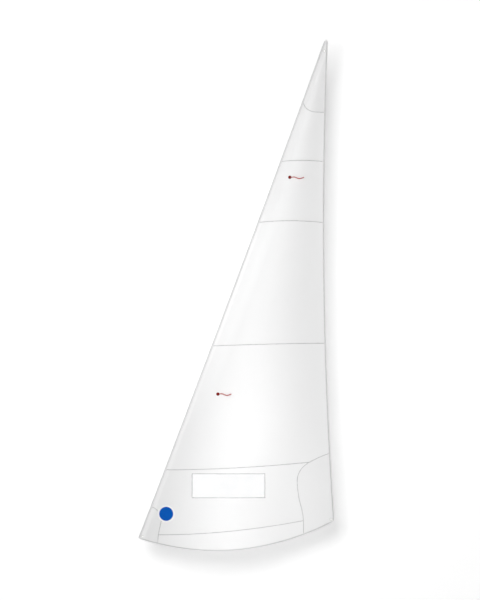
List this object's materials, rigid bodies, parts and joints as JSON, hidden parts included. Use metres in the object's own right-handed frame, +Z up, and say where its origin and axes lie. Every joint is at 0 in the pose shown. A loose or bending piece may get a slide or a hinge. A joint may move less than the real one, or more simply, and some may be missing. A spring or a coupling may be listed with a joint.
{
  "type": "jib sail",
  "caption": "White triangular dinghy jib, cambered, with sewn panels, corner patches, a clear window, taped edges, corner eyelets and telltales. It is set by its three corners.",
  "frame": {"origin": "centre of the tack eyelet, in the sail's middle plane", "axes": "+X aft, from luff to leech; +Y to starboard, square to the sail; +Z up the sail"},
  "size_m": [1.4717, 0.1241, 3.8371],
  "materials": {
    "sailcloth": "woven polyester sailcloth, firm and matt",
    "patch_cloth": "woven polyester sailcloth, matt",
    "tape_cloth": "folded polyester edge tape, matt",
    "window_film": "clear flexible film",
    "luff_line": "pre-stretched braided line",
    "eyelet_metal": "pressed stainless steel",
    "dot_port": "sticky-backed red cloth",
    "dot_starboard": "sticky-backed green cloth",
    "yarn_port": "red wool yarn",
    "yarn_starboard": "green wool yarn",
    "round_sticker": "plain printed film, blue with a white rim"
  },
  "bodies": {
    "sail": {"clew_eyelet": "eyelet_metal", "clew_eyelet_washer": "eyelet_metal", "clew_patch_port": "patch_cloth", "clew_patch_starboard": "patch_cloth", "foot_panel": "sailcloth", "foot_tape": "tape_cloth", "head_eyelet": "eyelet_metal", "head_eyelet_washer": "eyelet_metal", "head_panel": "sailcloth", "head_patch_port": "patch_cloth", "head_patch_starboard": "patch_cloth", "leech_tape": "tape_cloth", "lower_middle_panel": "sailcloth", "lower_telltale_dot_port": "dot_port", "lower_telltale_dot_starboard": "dot_starboard", "luff_line": "luff_line", "luff_tape": "tape_cloth", "round_sticker": "round_sticker", "tack_eyelet": "eyelet_metal", "tack_eyelet_washer": "eyelet_metal", "tack_patch_port": "patch_cloth", "tack_patch_starboard": "patch_cloth", "upper_middle_panel": "sailcloth", "upper_panel": "sailcloth", "upper_telltale_dot_port": "dot_port", "upper_telltale_dot_starboard": "dot_starboard", "window_film": "window_film", "window_panel": "sailcloth"},
    "lower_telltale_yarn_port": {"lower_telltale_yarn_port": "yarn_port"},
    "lower_telltale_yarn_starboard": {"lower_telltale_yarn_starboard": "yarn_starboard"},
    "upper_telltale_yarn_port": {"upper_telltale_yarn_port": "yarn_port"},
    "upper_telltale_yarn_starboard": {"upper_telltale_yarn_starboard": "yarn_starboard"}
  },
  "joints": [
    {"name": "lower_telltale_port_swing", "type": "hinge", "parent": "sail", "child": "lower_telltale_yarn_port", "pos_m": [0.57885, -0.05973, 1.0693], "axis": [0.2821, 0.9535, -0.1058], "range_deg": [-90, 90]},
    {"name": "lower_telltale_starboard_swing", "type": "hinge", "parent": "sail", "child": "lower_telltale_yarn_starboard", "pos_m": [0.58043, -0.05409, 1.0687], "axis": [0.2821, 0.9535, -0.1058], "range_deg": [-90, 90]},
    {"name": "upper_telltale_port_swing", "type": "hinge", "parent": "sail", "child": "upper_telltale_yarn_port", "pos_m": [1.11853, -0.03248, 2.69408], "axis": [0.0403, 0.9987, -0.0305], "range_deg": [-90, 90]},
    {"name": "upper_telltale_starboard_swing", "type": "hinge", "parent": "sail", "child": "upper_telltale_yarn_starboard", "pos_m": [1.11876, -0.02658, 2.69391], "axis": [0.0403, 0.9987, -0.0305], "range_deg": [-90, 90]}
  ]
}
